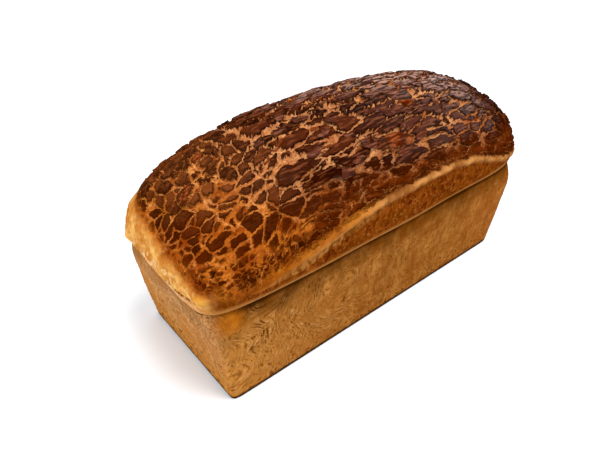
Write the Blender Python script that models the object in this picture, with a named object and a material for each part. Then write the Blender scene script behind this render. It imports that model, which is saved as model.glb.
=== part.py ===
"""A tin loaf with a crackled crust, as one solid in metres, +Z up.

The origin is the middle of the flat underside, and X runs along the loaf.
The lower part is the tin's own shape. The dough has risen over the rim as a lip,
and above the lip lies a smooth torn band, then the dome with its crackled plates.
"""

import math
import random

import bpy
from mathutils import Vector, noise
from mathutils.geometry import delaunay_2d_cdt

# Driving sizes of the part that the tin shaped
BASE_LENGTH = 0.260
BASE_WIDTH = 0.0985
WALL_HEIGHT = 0.0768
END_FLARE = 0.0124
SIDE_FLARE = 0.0050
FOOT_ROUND = 0.0014
WAIST = 0.0003

# Driving sizes of the part that rose above the tin
LIP_REACH_END = 0.0052
LIP_REACH_SIDE = 0.0038
LIP_RISE = 0.0083
NEAR_END_REACH = 0.71
LIP_WAVE = 0.0007
DOME_HEIGHT = 0.0618
SWELL = 0.0008
SWELL_LENGTH = 0.055

# How square each level of the loaf is in plan: 2 is an ellipse, and more is squarer
BASE_SQUARE = 44.0
RIM_SQUARE = 15.0
LIP_SQUARE = 5.4
SEEN_CORNER_SQUARE = 8.5
UNDER_LIP_EXTRA = 2.0
DOME_SQUARE = 3.2
TOP_SQUARE = 1.6

# How full the dome's profile is: 2 is a plain ellipse
SIDE_FULL = 2.55
NEAR_END_FULL = 3.08
FAR_END_FULL = 2.81
RISE_FULL = 2.02

# The crackled crust: plates of dried paste with grooves between them
PLATE_LENGTH = 0.0178
PLATE_WIDTH = 0.0100
PLATE_THICK = 0.0012
PLATE_CROWN = 0.0004
CRACK_FLOOR = -0.0008
CRACK_HALF = 0.0010
PLATE_SCATTER = 0.30
BAND_SINK = 0.0009
SEED = 41

# Where the crust stops, as a share of the way from the dome's top to the lip
FRONT_CRUST = 0.765
FRONT_CRUST_HIGHEST = 0.15
FRONT_CRUST_FALL_NEAR = 0.23
FRONT_CRUST_FALL_FAR = 0.38
BACK_CRUST = 0.83
BACK_CRUST_FALL = 0.10
NEAR_END_CRUST = 0.85
NEAR_END_CRUST_TILT = 0.11
FAR_END_CRUST = 0.935
FAR_END_CRUST_TILT = 0.035
CRUST_RAGGED = 0.018
CRUST_LAST = 0.955

# The mesh: columns round the loaf, and the dome's own length and width when unrolled
LONG_COLUMNS = 52
SHORT_COLUMNS = 22
CORNER_CROWDING = 0.6
UNROLLED_HALF_LENGTH = 0.172
UNROLLED_HALF_WIDTH = 0.094
BAND_STEP = 0.055

CRUST_COLOUR = (0.19, 0.075, 0.028, 1.0)


def mix(first, second, share):
    return first + (second - first) * share


def superellipse(u, v, square):
    """The point of a superellipse in the direction of (u, v), both half axes being 1."""
    size = (abs(u) ** square + abs(v) ** square) ** (1 / square)
    return u / size, v / size


def smooth_step(low, high, value):
    share = min(1.0, max(0.0, (value - low) / (high - low)))
    return share * share * (3 - 2 * share)


def square_outline():
    """Points round the unit square, anticlockwise from its corner (1, -1) and closer near the corners."""
    corners = [(1, -1), (1, 1), (-1, 1), (-1, -1)]
    counts = [SHORT_COLUMNS, LONG_COLUMNS, SHORT_COLUMNS, LONG_COLUMNS]
    outline = []
    for index, count in enumerate(counts):
        start, end = corners[index], corners[(index + 1) % 4]
        for step in range(count):
            even = step / count
            share = mix(even, smooth_step(0, 1, even), CORNER_CROWDING)
            outline.append((mix(start[0], end[0], share), mix(start[1], end[1], share)))
    return outline


def end_share(u):
    """0 along a long side and 1 at an end, turning smoothly at the corners."""
    return abs(u) ** 4


def lip_reach(u, v):
    """How far the lip stands out past the wall, as a share of its full reach."""
    near_end = end_share(u) if u < 0 else 0.0
    return mix(1.0, NEAR_END_REACH, near_end)


def lip_square(u, v):
    """The lip's squareness, which is greatest at the corner that the photograph shows."""
    return SEEN_CORNER_SQUARE if u < 0 and v < 0 else LIP_SQUARE


def swollen(point, outward):
    """The point moved a little in or out, as dough never rises evenly."""
    amount = noise.noise(Vector(point) / SWELL_LENGTH) * SWELL
    return Vector(point) + Vector(outward) * amount


def lip_wave(u, v):
    """The lip's small rise and fall along its length."""
    turn = math.atan2(v, u)
    return LIP_WAVE * (math.sin(5 * turn + 0.6) + 0.6 * math.sin(11 * turn + 2.0))


def wall_square(u, v, share):
    """The wall's squareness in plan: the dough didn't quite fill the tin's corners under the lip."""
    plain = mix(BASE_SQUARE, RIM_SQUARE, share)
    return mix(plain, lip_square(u, v) + UNDER_LIP_EXTRA, smooth_step(0.7, 1.0, share))


def wall_point(u, v, share, reach, inset, height):
    """A point of the wall or of the lip's underside. share is 0 at the base and 1 at the rim."""
    x, y = superellipse(u, v, wall_square(u, v, share))
    lip_x, lip_y = superellipse(u, v, lip_square(u, v))
    waist = WAIST * math.sin(math.pi * share)
    half_length = BASE_LENGTH / 2 + END_FLARE * share - inset - waist
    half_width = BASE_WIDTH / 2 + SIDE_FLARE * share - inset - waist
    lip_half_length = BASE_LENGTH / 2 + END_FLARE + LIP_REACH_END
    lip_half_width = BASE_WIDTH / 2 + SIDE_FLARE + LIP_REACH_SIDE
    rolled = reach * lip_reach(u, v)
    return (
        mix(half_length * x, lip_half_length * lip_x, rolled),
        mix(half_width * y, lip_half_width * lip_y, rolled),
        height,
    )


def wall_rings(outline):
    """Rings of points from just under the lip's widest line down to the base."""
    rim = WALL_HEIGHT
    levels = [
        # share of the wall, reach of the lip, inset, height, how much the lip's wave moves it
        (1.00, 0.93, 0.0, rim + 0.55 * LIP_RISE, 1.0),
        (1.00, 0.68, 0.0, rim + 0.20 * LIP_RISE, 1.0),
        (1.00, 0.28, 0.0006, rim + 0.02 * LIP_RISE, 1.0),
        (0.99, 0.00, 0.0010, rim - 0.0008, 1.0),
        (0.95, 0.00, 0.0003, rim * 0.95, 0.5),
        (0.86, 0.00, 0.0, rim * 0.86, 0.0),
        (0.74, 0.00, 0.0, rim * 0.74, 0.0),
        (0.50, 0.00, 0.0, rim * 0.50, 0.0),
        (0.25, 0.00, 0.0, rim * 0.25, 0.0),
        (0.03, 0.00, 0.0, FOOT_ROUND, 0.0),
        (0.01, 0.00, FOOT_ROUND * 0.30, FOOT_ROUND * 0.30, 0.0),
        (0.00, 0.00, FOOT_ROUND, 0.0, 0.0),
    ]
    rings = []
    for share, reach, inset, height, waved in levels:
        ring = []
        for u, v in outline:
            x, y, z = wall_point(u, v, share, reach, inset, height)
            point = Vector((x, y, z + waved * lip_wave(u, v)))
            outward = Vector((x, y, 0)).normalized()
            ring.append(swollen(point, outward * min(1.0, share * 3)))
        rings.append(ring)
    return rings


def bare_dome(u, v):
    """The smooth dome's point at (u, v): both run from -1 to 1, and the lip is where one of them is 1."""
    share = max(abs(u), abs(v), 1e-6)
    side_u, side_v = u / share, v / share
    end_full = NEAR_END_FULL if side_u < 0 else FAR_END_FULL
    full = mix(SIDE_FULL, end_full, end_share(side_u))
    angle = share * math.pi / 2
    out = math.sin(angle) ** (2 / full)
    up = max(math.cos(angle), 0.0) ** (2 / RISE_FULL)
    squarer = (lip_square(side_u, side_v) - DOME_SQUARE) * out ** 16
    square = mix(TOP_SQUARE, DOME_SQUARE, out ** 2) + squarer
    x, y = superellipse(side_u, side_v, square)
    rolled = lip_reach(side_u, side_v)
    half_length = BASE_LENGTH / 2 + END_FLARE + LIP_REACH_END * mix(1.0, rolled, out ** 8)
    half_width = BASE_WIDTH / 2 + SIDE_FLARE + LIP_REACH_SIDE * mix(1.0, rolled, out ** 8)
    height = WALL_HEIGHT + LIP_RISE + DOME_HEIGHT * up + lip_wave(side_u, side_v) * out ** 8
    return Vector((half_length * x * out, half_width * y * out, height))


def dome_point(u, v, lift):
    """The dome's point at (u, v), lifted off the bare dome by this much."""
    here = bare_dome(u, v)
    step = 0.004
    along = bare_dome(u + step, v) - bare_dome(u - step, v)
    across = bare_dome(u, v + step) - bare_dome(u, v - step)
    edge = max(abs(u), abs(v))
    outward = along.cross(across).normalized()
    if edge > 1 - 2 * step:
        outward = Vector((here.x, here.y, 0)).normalized()
    return swollen(here, outward) + outward * lift


def crust_end(u, v):
    """The share of the way from the dome's top to the lip at which the crust stops."""
    if v < 0:
        fall = FRONT_CRUST_FALL_NEAR if u < FRONT_CRUST_HIGHEST else FRONT_CRUST_FALL_FAR
        long_side = FRONT_CRUST + fall * (u - FRONT_CRUST_HIGHEST) ** 2
    else:
        long_side = BACK_CRUST + BACK_CRUST_FALL * u * u
    if u < 0:
        short_side = NEAR_END_CRUST - NEAR_END_CRUST_TILT * v
    else:
        short_side = FAR_END_CRUST - FAR_END_CRUST_TILT * v
    turn = math.atan2(v, u)
    ragged = math.sin(9 * turn) + 0.7 * math.sin(17 * turn + 1.3) + 0.5 * math.sin(31 * turn)
    smooth_end = mix(long_side, short_side, end_share(u))
    return min(CRUST_LAST, smooth_end + CRUST_RAGGED * ragged / 2.2)


def in_crust(u, v):
    share = max(abs(u), abs(v), 1e-6)
    return share < crust_end(u / share, v / share)


def plate_seeds():
    """A scattered middle for each plate, on the unrolled dome, with spare ones outside it."""
    scatter = random.Random(SEED)
    row_count = math.ceil(UNROLLED_HALF_WIDTH / PLATE_WIDTH) + 2
    column_count = math.ceil(UNROLLED_HALF_LENGTH / PLATE_LENGTH) + 2
    seeds = []
    for row in range(-row_count, row_count + 1):
        for column in range(-column_count, column_count + 1):
            shift = 0.5 * (row % 2) + scatter.uniform(-PLATE_SCATTER, PLATE_SCATTER)
            x = (column + shift) * PLATE_LENGTH
            y = (row + scatter.uniform(-PLATE_SCATTER, PLATE_SCATTER)) * PLATE_WIDTH
            seeds.append(Vector((x, y)))
    return seeds


def circle_centre(a, b, c):
    """The middle of the circle through three points."""
    bx, by, cx, cy = b.x - a.x, b.y - a.y, c.x - a.x, c.y - a.y
    twice = 2 * (bx * cy - by * cx)
    b_square, c_square = bx * bx + by * by, cx * cx + cy * cy
    x = a.x + (cy * b_square - by * c_square) / twice
    y = a.y + (bx * c_square - cx * b_square) / twice
    return Vector((x, y))


def plate_outlines(seeds):
    """Each plate's middle and its corner numbers, with the corners shared between plates.

    Plates are the regions nearest to each middle, worked out with X squeezed so that they come out long.
    """
    squeeze = PLATE_WIDTH / PLATE_LENGTH
    squeezed = [Vector((seed.x * squeeze, seed.y)) for seed in seeds]
    triangles = delaunay_2d_cdt(squeezed, [], [], 0, 1e-7)[2]
    corners, around = [], {}
    for number, (a, b, c) in enumerate(triangles):
        centre = circle_centre(squeezed[a], squeezed[b], squeezed[c])
        corners.append(Vector((centre.x / squeeze, centre.y)))
        for seed in (a, b, c):
            around.setdefault(seed, []).append(number)
    plates = []
    for seed, numbers in around.items():
        middle = seeds[seed]
        turned = sorted(
            numbers,
            key=lambda n: math.atan2(corners[n].y - middle.y, corners[n].x - middle.x),
        )
        plates.append((middle, turned))
    return corners, plates


def to_unit(point):
    return point.x / UNROLLED_HALF_LENGTH, point.y / UNROLLED_HALF_WIDTH


def inset_corner(corner, middle):
    """The plate's own corner, drawn in from the groove's bottom towards the plate's middle."""
    way = middle - corner
    here = Vector((corner.x, corner.y, 0)) / SWELL_LENGTH * 3
    half_width = CRACK_HALF * (1 + 0.7 * noise.noise(here))
    return corner + way * min(0.45, half_width * 1.35 / way.length)


class DomePlan:
    """The flat plan that the dome is meshed on: points, their lift, and edges to keep."""

    def __init__(self):
        self.points = []
        self.lifts = []
        self.edges = []

    def add(self, point, lift):
        self.points.append(Vector(point))
        self.lifts.append(lift)
        return len(self.points) - 1

    def add_loop(self, numbers):
        for first, second in zip(numbers, numbers[1:] + numbers[:1]):
            self.edges.append((first, second))


def add_plates(plan):
    """Grooves at the dough's own level, and raised plates between them."""
    corners, plates = plate_outlines(plate_seeds())
    scatter = random.Random(SEED + 1)
    groove_numbers = {}
    for middle, turned in plates:
        inside = all(in_crust(*to_unit(corners[number])) for number in turned)
        if not inside:
            continue
        for number in turned:
            if number not in groove_numbers:
                groove_numbers[number] = plan.add(corners[number], CRACK_FLOOR)
        thick = CRACK_FLOOR + PLATE_THICK * scatter.uniform(0.75, 1.3)
        rim = [plan.add(inset_corner(corners[number], middle), thick) for number in turned]
        plan.add_loop([groove_numbers[number] for number in turned])
        plan.add_loop(rim)
        plan.add(middle, thick + PLATE_CROWN)
    return corners


def add_band(plan, outline):
    """Points of the smooth torn band between the crust and the lip, and the lip's widest line."""
    border = []
    for u, v in outline:
        border.append(plan.add((u * UNROLLED_HALF_LENGTH, v * UNROLLED_HALF_WIDTH), 0.0))
    plan.add_loop(border)
    share = 1.0 - BAND_STEP
    while share > 0.70:
        for u, v in outline[:: 2 if share < 0.92 else 1]:
            clear = share - crust_end(u, v)
            if clear > 0.035:
                sunk = -BAND_SINK * math.sin(math.pi * min(1.0, (1 - share) / 0.15))
                point = (u * share * UNROLLED_HALF_LENGTH, v * share * UNROLLED_HALF_WIDTH)
                plan.add(point, sunk)
        share -= BAND_STEP
    return border


def dome_mesh(outline):
    """Vertices and triangles of the dome, and the vertex numbers of its border in the outline's order."""
    plan = DomePlan()
    border = add_band(plan, outline)
    add_plates(plan)
    points, _, triangles, origins, _, _ = delaunay_2d_cdt(plan.points, plan.edges, [], 0, 1e-7)
    vertices = []
    for point, from_inputs in zip(points, origins):
        lift = plan.lifts[from_inputs[0]] if from_inputs else 0.0
        vertices.append(dome_point(*to_unit(point), lift))
    place = {source: index for index, sources in enumerate(origins) for source in sources}
    return vertices, [list(triangle) for triangle in triangles], [place[number] for number in border]


def loaf_mesh():
    """The whole skin: the dome, the rings of the lip and wall, and the flat underside."""
    outline = square_outline()
    vertices, faces, upper = dome_mesh(outline)
    count = len(outline)
    for ring in wall_rings(outline):
        lower = list(range(len(vertices), len(vertices) + count))
        vertices.extend(ring)
        for index in range(count):
            after = (index + 1) % count
            faces.append([upper[index], lower[index], lower[after], upper[after]])
        upper = lower
    faces.append(list(reversed(upper)))
    return vertices, faces


def centred(vertices):
    """The vertices moved so that the box round them stands on the origin."""
    low_x, high_x = min(v.x for v in vertices), max(v.x for v in vertices)
    low_y, high_y = min(v.y for v in vertices), max(v.y for v in vertices)
    shift = Vector(((low_x + high_x) / 2, (low_y + high_y) / 2, 0))
    return [vertex - shift for vertex in vertices]


def crust_material():
    material = bpy.data.materials.new("baked_crust")
    material.use_nodes = True
    shader = material.node_tree.nodes["Principled BSDF"]
    shader.inputs["Base Color"].default_value = CRUST_COLOUR
    shader.inputs["Roughness"].default_value = 0.62
    shader.inputs["Metallic"].default_value = 0.0
    return material


def build():
    for thing in list(bpy.data.objects):
        bpy.data.objects.remove(thing)
    vertices, faces = loaf_mesh()
    mesh = bpy.data.meshes.new("loaf")
    mesh.from_pydata(centred(vertices), [], faces)
    mesh.materials.append(crust_material())
    mesh.validate()
    mesh.shade_smooth()
    mesh.set_sharp_from_angle(angle=math.radians(50))
    loaf = bpy.data.objects.new("loaf", mesh)
    bpy.context.scene.collection.objects.link(loaf)


build()
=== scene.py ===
"""Looks of a tin loaf with a crackled crust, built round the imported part.

The loaf shows as three pieces: the risen dome with its lip, the sides that the tin shaped,
and small flakes of dried paste that lie on the crown. Lengths are in metres.
"""

import math

import bpy
import numpy as np
from mathutils import Matrix, Vector

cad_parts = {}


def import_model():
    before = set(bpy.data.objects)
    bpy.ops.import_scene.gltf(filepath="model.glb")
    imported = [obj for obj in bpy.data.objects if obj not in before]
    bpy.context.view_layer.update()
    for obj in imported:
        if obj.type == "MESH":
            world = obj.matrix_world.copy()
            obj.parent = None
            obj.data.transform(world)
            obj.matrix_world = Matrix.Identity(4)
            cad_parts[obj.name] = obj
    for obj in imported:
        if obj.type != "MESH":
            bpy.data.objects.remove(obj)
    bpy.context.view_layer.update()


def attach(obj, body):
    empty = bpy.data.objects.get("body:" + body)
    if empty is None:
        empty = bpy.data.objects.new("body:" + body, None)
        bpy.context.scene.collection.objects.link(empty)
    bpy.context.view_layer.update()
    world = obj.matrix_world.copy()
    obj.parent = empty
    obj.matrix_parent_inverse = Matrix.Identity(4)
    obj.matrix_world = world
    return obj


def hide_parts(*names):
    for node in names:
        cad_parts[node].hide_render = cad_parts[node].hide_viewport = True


# The tin's own shape
BASE_LENGTH = 0.260
BASE_WIDTH = 0.0985
WALL_HEIGHT = 0.0768
END_FLARE = 0.0124
SIDE_FLARE = 0.0050
FOOT_ROUND = 0.0014

# The dough above the tin
LIP_REACH_END = 0.0052
LIP_REACH_SIDE = 0.0038
LIP_RISE = 0.0083
NEAR_END_REACH = 0.71
LIP_WAVE = 0.0007
DOME_HEIGHT = 0.0618
GROOVE_DROP = 0.0008
LIP_CRISP = 0.45
LIP_UNDERSIDE = 0.55
SEAM_STRAY = 0.0008

# How square each level is in plan: 2 is an ellipse, and more is squarer
BASE_SQUARE = 44.0
RIM_SQUARE = 15.0
LIP_SQUARE = 5.4
SEEN_CORNER_SQUARE = 8.5
UNDER_LIP_EXTRA = 2.0
DOME_SQUARE = 3.2
TOP_SQUARE = 1.6

# How full the dome's profile is: 2 is a plain ellipse
SIDE_FULL = 2.55
NEAR_END_FULL = 3.08
FAR_END_FULL = 2.81
RISE_FULL = 2.02

# Where the crust of paste stops, as a share of the way from the crown to the lip
FRONT_CRUST = 0.765
FRONT_CRUST_HIGHEST = 0.15
FRONT_CRUST_FALL_NEAR = 0.23
FRONT_CRUST_FALL_FAR = 0.38
BACK_CRUST = 0.83
BACK_CRUST_FALL = 0.10
NEAR_END_CRUST = 0.85
NEAR_END_CRUST_TILT = 0.11
FAR_END_CRUST = 0.935
FAR_END_CRUST_TILT = 0.035

# The hidden rims that close both shells: how far in they lie, and how far up or down
DOME_RIM_INSET = 0.004
DOME_RIM_DROP = 4 * GROOVE_DROP
SIDE_RIM_INSET = 0.005
SIDE_RIM_RISE = 0.0012
SIDE_EDGE_INSET = 0.0012
SIDE_EDGE_RISE = 0.0009
SIDE_TOP_GAP = 0.001

# The meshes' fineness: spaces along the dome and across it, and round and up the sides
DOME_SPACES_LONG = 380
DOME_SPACES_WIDE = 210
LIP_ROWS = 14
SIDE_SPACES_LONG = 260
SIDE_SPACES_SHORT = 110
SIDE_ROWS = 80
SIDE_CROWDING = 0.45
FOOT_ANGLES = [30, 60, 90]

# The warmest spot of the walls, under the lip beside the near upright edge
ORANGE_SPOT = (-0.131, -0.051, 0.069)

# The near end's torn seam, which rises towards the near corner, and two swollen spots beside it
TEAR_HEIGHT = 0.0810
TEAR_RISE = 0.0047
TEAR_DEPTH = 0.0012
SWELLING = 0.0012
SWOLLEN_SPOTS = [(-0.1424, -0.0461, 0.0883), (-0.1457, 0.0290, 0.0869)]

# The crackle of the dried paste
PLATE_WIDTH = 0.0086
PLATE_STRETCH = 3.5
END_CROWDING = 24.0
FAR_FINENESS = 0.15
NEAR_FINENESS = 1.28
LONG_TEAR_REACH = 0.5
CELL_CHANCE = 0.95
SLOW_STRAY = 1.1
QUICK_STRAY = 0.44
END_QUICK_STRAY = 0.46

# The layer under the plates, with its cells so many times as fine and out of step with the plates
FINE_CELLS = 2.1
FINE_SHIFT = (3.7, 1.3, 5.9)

# The crackle's relief, before the modifier's own depth
THIN_PLATE = 0.0006
THICK_PLATE = 0.0017
FINE_PLATE = 0.0005
PLATE_FIBRES = 0.0019
GROUND_DROP = 0.0009
VEIN_RISE = 0.0005
FINE_LINE_DROP = 0.0004
GAP_RIPPLE = 0.0014
EDGE_RIDGE = 0.0016

# The loose flakes on the crown: their number for a square metre, how far they turn from the loaf's
# length, how wide they are for their length, the least and greatest size, and how far they warp
FLAKE_DENSITY = 30000.0
FLAKE_TURN = 0.35
FLAKE_WIDTH = 0.40
FLAKE_SIZES = (0.50, 1.25)
FLAKE_WARP = (0.007, 0.005, 0.0)

# Scales along the three axes that draw noise out into fibres along the loaf
FIBRE_SCALES = (110.0, 650.0, 650.0)

# Long tears in the paste of the near half, seen from above, each from one end to the other
LONG_TEARS = [
    ((-0.129, -0.038), (-0.106, -0.034)),
    ((-0.114, -0.026), (-0.093, -0.029)),
    ((-0.093, -0.029), (-0.064, -0.015)),
]

# The studio is so bright that the skin is this share of the colour that shows
SKIN_SHARE = 0.75

# The darkest plates' shine, and the colour of the painted sheen on them
COAT_ROUGHNESS = 0.35
PAINTED_SHEEN = (204, 154, 134)

# The studio's light: the strength of the white air, and the place that both lamps point at
AIR_STRENGTH = 0.85
LIGHT_AIM = (0, 0, 0.05)

# The photograph's view
CAMERA_AZIMUTH = -40.3345
CAMERA_ELEVATION = 35.3625
CAMERA_ROLL = 0.9973
CAMERA_DISTANCE = 0.3708
CAMERA_TARGET = (-0.0364, 0.0032, 0.06)
CAMERA_FOCUS_IN_WIDTHS = 535.2284 / 600
SENSOR_WIDTH = 36


# Small helpers

# The two kinds of node tree: one colours a skin, and the other moves it
COLOUR = "ShaderNodeTree"
RELIEF = "GeometryNodeTree"


def tint(red, green, blue):
    """A screen colour of 0 to 255 as the linear colour that Blender's sockets take."""
    parts = []
    for value in (red, green, blue):
        share = value / 255
        parts.append(share / 12.92 if share <= 0.04045 else ((share + 0.055) / 1.055) ** 2.4)
    return (*parts, 1.0)


def baked(red, green, blue):
    """The skin colour that shows as this screen colour in the studio's light."""
    return (*(value * SKIN_SHARE for value in tint(red, green, blue)[:3]), 1.0)


def mix(first, second, share):
    return first + (second - first) * share


def smooth_step(low, high, value):
    share = np.clip((value - low) / (high - low), 0, 1)
    return share * share * (3 - 2 * share)


class Net:
    """Places nodes in one tree and joins them. The same calls serve materials and Geometry Nodes."""

    def __init__(self, tree):
        self.tree = tree

    def feed(self, socket, value):
        if isinstance(value, bpy.types.NodeSocket):
            self.tree.links.new(value, socket)
        else:
            socket.default_value = value

    def fill(self, node, values):
        for name, value in values.items():
            self.feed(node.inputs[name], value)

    def node(self, kind, named=None, **settings):
        made = self.tree.nodes.new(kind)
        for name, value in settings.items():
            setattr(made, name, value)
        self.fill(made, named or {})
        return made

    def math(self, operation, *values):
        made = self.node("ShaderNodeMath", operation=operation)
        for socket, value in zip(made.inputs, values):
            self.feed(socket, value)
        return made.outputs[0]

    def add(self, total, *values):
        for value in values:
            total = self.math("ADD", total, value)
        return total

    def times(self, product, *values):
        for value in values:
            product = self.math("MULTIPLY", product, value)
        return product

    def rest_of(self, share):
        return self.math("SUBTRACT", 1.0, share)

    def vector(self, operation, *values):
        made = self.node("ShaderNodeVectorMath", operation=operation)
        for socket, value in zip(made.inputs, values):
            self.feed(socket, value)
        return made.outputs[0]

    def measure(self, operation, first, second):
        """One number from two vectors, such as their distance."""
        made = self.node("ShaderNodeVectorMath", {0: first, 1: second}, operation=operation)
        return made.outputs["Value"]

    def scaled(self, vector, factor):
        made = self.node("ShaderNodeVectorMath", {0: vector, "Scale": factor}, operation="SCALE")
        return made.outputs[0]

    def moved(self, place, way, factor):
        return self.vector("ADD", place, self.scaled(way, factor))

    def parts(self, vector):
        made = self.node("ShaderNodeSeparateXYZ", {0: vector})
        return made.outputs[0], made.outputs[1], made.outputs[2]

    def joined(self, x, y, z):
        return self.node("ShaderNodeCombineXYZ", {0: x, 1: y, 2: z}).outputs[0]

    def ramp(self, value, low, high, start=0.0, end=1.0):
        """start below low, end above high, and a smooth change between them."""
        made = self.node(
            "ShaderNodeMapRange",
            {"Value": value, "From Min": low, "From Max": high, "To Min": start, "To Max": end},
            interpolation_type="SMOOTHSTEP",
        )
        return made.outputs[0]

    def fall(self, value, low, high):
        return self.ramp(value, low, high, 1.0, 0.0)

    def between(self, value, low, low_full, high_full, high):
        """1 from low_full to high_full, and 0 below low and above high."""
        return self.times(self.ramp(value, low, low_full), self.fall(value, high_full, high))

    def blend(self, share, first, second):
        """One number turning into another."""
        made = self.node("ShaderNodeMix", {0: share, 2: first, 3: second}, data_type="FLOAT")
        return made.outputs[0]

    def paint(self, share, first, second):
        """The first colour with this share of the second over it, each a socket or a screen colour."""
        first, second = (baked(*part) if isinstance(part, tuple) else part for part in (first, second))
        made = self.node("ShaderNodeMix", {0: share, 6: first, 7: second}, data_type="RGBA")
        return made.outputs[2]

    def coats(self, skin, *layers):
        """The skin with these layers over it in turn, each as its share and its colour."""
        for share, colour in layers:
            skin = self.paint(share, skin, colour)
        return skin

    def noise(self, place, scale, detail=2.0, roughness=0.5, colour=False):
        """Noise from 0 to 1. Three scales stretch its pattern along the axes."""
        if isinstance(scale, tuple):
            place, scale = self.vector("MULTIPLY", place, scale), 1.0
        made = self.node(
            "ShaderNodeTexNoise",
            {"Vector": place, "Scale": scale, "Detail": detail, "Roughness": roughness},
        )
        return made.outputs[1 if colour else 0]

    def uneven(self, *settings):
        """Noise from -0.5 to 0.5."""
        return self.add(self.noise(*settings), -0.5)

    def stray(self, *settings):
        """A vector that wanders from place to place, each part from -0.5 to 0.5."""
        return self.vector("SUBTRACT", self.noise(*settings, colour=True), (0.5, 0.5, 0.5))

    def cells(self, place, feature, randomness):
        named = {"Vector": place, "Scale": 1.0, "Randomness": randomness}
        made = self.node("ShaderNodeTexVoronoi", named, feature=feature)
        return made.outputs["Color" if feature == "F1" else "Distance"]

    def kept(self, name, kind="FLOAT"):
        """A point attribute of the mesh, in Geometry Nodes."""
        made = self.node("GeometryNodeInputNamedAttribute", {"Name": name}, data_type=kind)
        return made.outputs["Attribute"]

    def group(self, tree, **values):
        made = self.node("ShaderNodeGroup" if tree.bl_idname == COLOUR else "GeometryNodeGroup")
        made.node_tree = tree
        for name, value in values.items():
            self.feed(made.inputs[name.replace("_", " ").capitalize()], value)
        return made.outputs

    def put_out(self, values):
        """End a node group: each value becomes its output of that name."""
        kinds = {"VALUE": "Float", "RGBA": "Vector", "GEOMETRY": "Geometry"}
        for label, value in values.items():
            form = "NodeSocket" + kinds[value.type]
            self.tree.interface.new_socket(label, in_out="OUTPUT", socket_type=form)
        self.fill(self.node("NodeGroupOutput"), values)
        return self.tree


def new_group(name, kind, inputs):
    """A node group with inputs of these names and kinds, as the net to fill and the input sockets."""
    tree = bpy.data.node_groups.new(name, kind)
    for label, form in inputs.items():
        tree.interface.new_socket(label, in_out="INPUT", socket_type="NodeSocket" + form)
    net = Net(tree)
    return net, net.node("NodeGroupInput").outputs


def relief_group(name, material, *sizes, **others):
    """A tree of Geometry Nodes whose inputs are its geometry, its material and its sizes."""
    inputs = {"Geometry": "Geometry", material: "Material", **dict.fromkeys(sizes, "Float"), **others}
    return new_group(name, RELIEF, inputs)


def twin_name(name, kind):
    """The name of a group that is made twice, for colour and for relief."""
    return name + ("_colour" if kind == COLOUR else "_relief")


# The loaf's form, by the same rules as the solid


def superellipse(u, v, square):
    size = (np.abs(u) ** square + np.abs(v) ** square) ** (1 / square)
    return u / size, v / size


def end_share(u):
    return np.abs(u) ** 4


def lip_reach(u):
    return mix(1.0, NEAR_END_REACH, np.where(u < 0, end_share(u), 0.0))


def lip_square(u, v):
    """The lip's squareness, which is greatest at the corner that the photograph shows."""
    return np.where((u < 0) & (v < 0), SEEN_CORNER_SQUARE, LIP_SQUARE)


def lip_wave(u, v):
    turn = np.arctan2(v, u)
    return LIP_WAVE * (np.sin(5 * turn + 0.6) + 0.6 * np.sin(11 * turn + 2.0))


def seam_stray(u, v):
    """How far the seam under the lip strays up or down, which is most on the near end."""
    wander = np.sin(4.2 * v + 0.4) + 0.7 * np.sin(11 * v + 1.9) + 0.45 * np.sin(27 * v)
    return SEAM_STRAY * smooth_step(0.86, 1.0, -u) * wander


def dome_points(u, v):
    """The smooth dome's points for arrays of u and v, which run from -1 to 1."""
    share = np.maximum(np.abs(u), np.abs(v))
    crown = share < 1e-6
    side_u = np.where(crown, 1.0, u / np.maximum(share, 1e-6))
    side_v = np.where(crown, 0.0, v / np.maximum(share, 1e-6))
    end_full = np.where(side_u < 0, NEAR_END_FULL, FAR_END_FULL)
    full = mix(SIDE_FULL, end_full, end_share(side_u))
    out = np.sin(share * math.pi / 2) ** (2 / full)
    up = np.maximum(np.cos(share * math.pi / 2), 0) ** (2 / RISE_FULL)
    squarer = (lip_square(side_u, side_v) - DOME_SQUARE) * out**16
    square = mix(TOP_SQUARE, DOME_SQUARE, out**2) + squarer
    x, y = superellipse(side_u, side_v, square)
    rolled = mix(1.0, lip_reach(side_u), out**8)
    half_length = BASE_LENGTH / 2 + END_FLARE + LIP_REACH_END * rolled
    half_width = BASE_WIDTH / 2 + SIDE_FLARE + LIP_REACH_SIDE * rolled
    height = WALL_HEIGHT + LIP_RISE + DOME_HEIGHT * up + lip_wave(side_u, side_v) * out**8
    return np.stack([half_length * x * out, half_width * y * out, height], -1)


def crust_end(u, v):
    """The share of the way from the crown to the lip at which the paste stops."""
    fall = np.where(u < FRONT_CRUST_HIGHEST, FRONT_CRUST_FALL_NEAR, FRONT_CRUST_FALL_FAR)
    front = FRONT_CRUST + fall * (u - FRONT_CRUST_HIGHEST) ** 2
    back = BACK_CRUST + BACK_CRUST_FALL * u * u
    near = NEAR_END_CRUST - NEAR_END_CRUST_TILT * v
    far = FAR_END_CRUST - FAR_END_CRUST_TILT * v
    long_side = np.where(v < 0, front, back)
    short_side = np.where(u < 0, near, far)
    return mix(long_side, short_side, end_share(u))


def wall_square(u, v, share):
    plain = mix(BASE_SQUARE, RIM_SQUARE, share)
    return mix(plain, lip_square(u, v) + UNDER_LIP_EXTRA, smooth_step(0.7, 1.0, share))


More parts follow.
